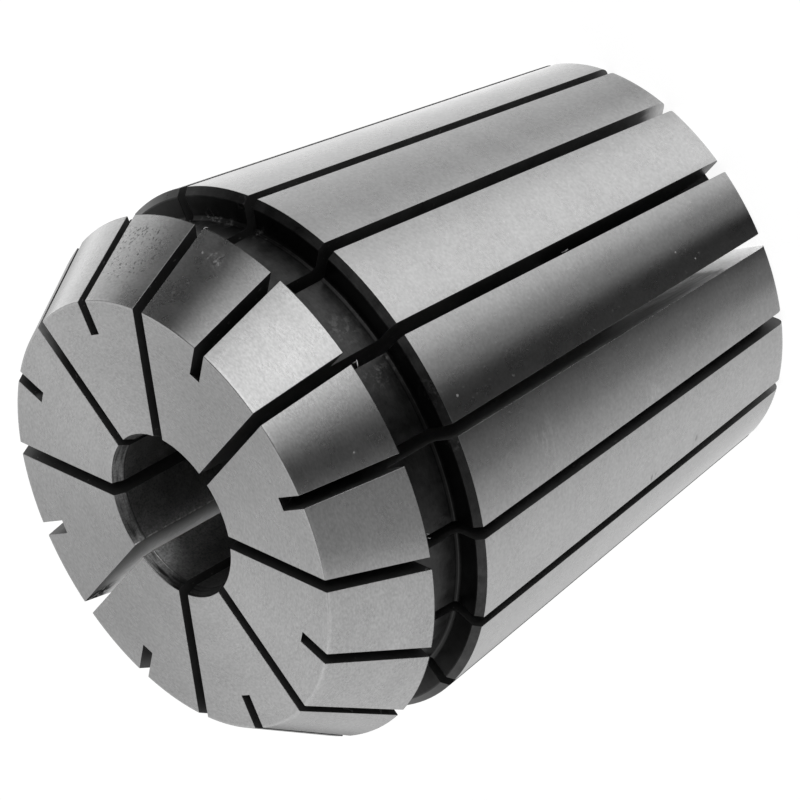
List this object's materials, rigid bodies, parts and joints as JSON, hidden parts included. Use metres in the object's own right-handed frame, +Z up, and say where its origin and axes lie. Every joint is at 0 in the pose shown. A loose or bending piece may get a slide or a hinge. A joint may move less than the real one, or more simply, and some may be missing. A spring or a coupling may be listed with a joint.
{
  "type": "er collet",
  "caption": "Double-slit spring collet, one steel piece with a tapered body, nut groove, conical nose and a through bore that grips a round tool shank",
  "frame": {"origin": "centre of the small rear face, on the axis of the bore", "axes": "+Z runs up the bore axis from the rear face to the nose; +X and +Y are square to it and each runs along the middle of a slit that is open at the front"},
  "size_m": [0.041, 0.041, 0.046],
  "materials": {
    "steel": "ground, with blackened groove and slits"
  },
  "bodies": {
    "root": {"collet": "steel"}
  },
  "joints": []
}
